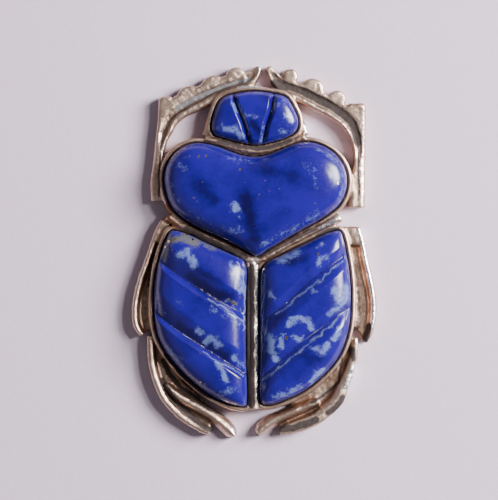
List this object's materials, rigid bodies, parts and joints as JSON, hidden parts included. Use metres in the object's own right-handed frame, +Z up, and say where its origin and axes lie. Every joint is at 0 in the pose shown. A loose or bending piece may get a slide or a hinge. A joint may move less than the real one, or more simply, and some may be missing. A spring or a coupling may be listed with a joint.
{
  "type": "scarab brooch",
  "caption": "Flat-backed scarab brooch: a cast silver mount with toothed front legs, set with domed and grooved lapis stones for the head, thorax and wing cases.",
  "frame": {"origin": "under the middle of the outline, on the plane of the flat back", "axes": "+Y along the body towards the head, +Z up out of the stones, +X towards the right wing as seen from above"},
  "size_m": [0.0294, 0.0446, 0.0052],
  "materials": {
    "silver": "satin",
    "lapis": "gloss"
  },
  "bodies": {
    "root": {"silver_mount": "silver", "head_stone": "lapis", "pronotum_stone": "lapis", "left_wing_stone": "lapis", "right_wing_stone": "lapis"}
  },
  "joints": []
}
